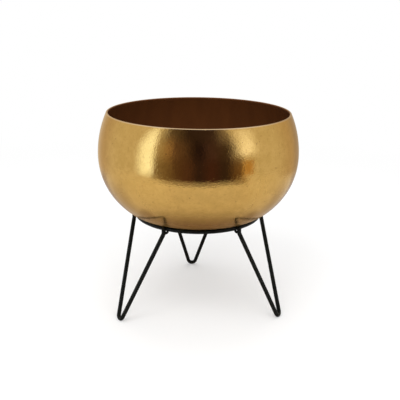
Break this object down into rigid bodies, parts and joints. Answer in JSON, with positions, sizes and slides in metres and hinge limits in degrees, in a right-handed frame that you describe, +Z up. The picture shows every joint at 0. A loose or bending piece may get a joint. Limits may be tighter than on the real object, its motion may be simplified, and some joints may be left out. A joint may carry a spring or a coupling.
{
  "type": "planter with stand",
  "caption": "Round-bellied metal planter bowl that rests in a low wire stand with a ring and hairpin legs.",
  "frame": {"origin": "on the floor, on the bowl's axis, midway between the three feet", "axes": "+Z up along the bowl's axis; one leg stands towards +Y, which is the rear; -Y is the front; +X is right"},
  "size_m": [0.2518, 0.2518, 0.2558],
  "materials": {
    "brass_gold_shell": "brass-coloured finish polished outside over a cast grain, matt dark brown inside",
    "satin_black_wire": "satin black powder coat on steel wire"
  },
  "bodies": {
    "stand": {"support_ring": "satin_black_wire", "hairpin_leg_rear": "satin_black_wire", "hairpin_leg_left": "satin_black_wire", "hairpin_leg_right": "satin_black_wire", "weld_bead_rear_left": "satin_black_wire", "weld_bead_rear_right": "satin_black_wire", "weld_bead_left_side": "satin_black_wire", "weld_bead_left_front": "satin_black_wire", "weld_bead_right_front": "satin_black_wire", "weld_bead_right_side": "satin_black_wire"},
    "bowl": {"planter_bowl": "brass_gold_shell"}
  },
  "joints": [
    {"name": "bowl_lift", "type": "slide", "parent": "stand", "child": "bowl", "axis": [0, 0, 1], "range_m": [0, 0.04]}
  ]
}
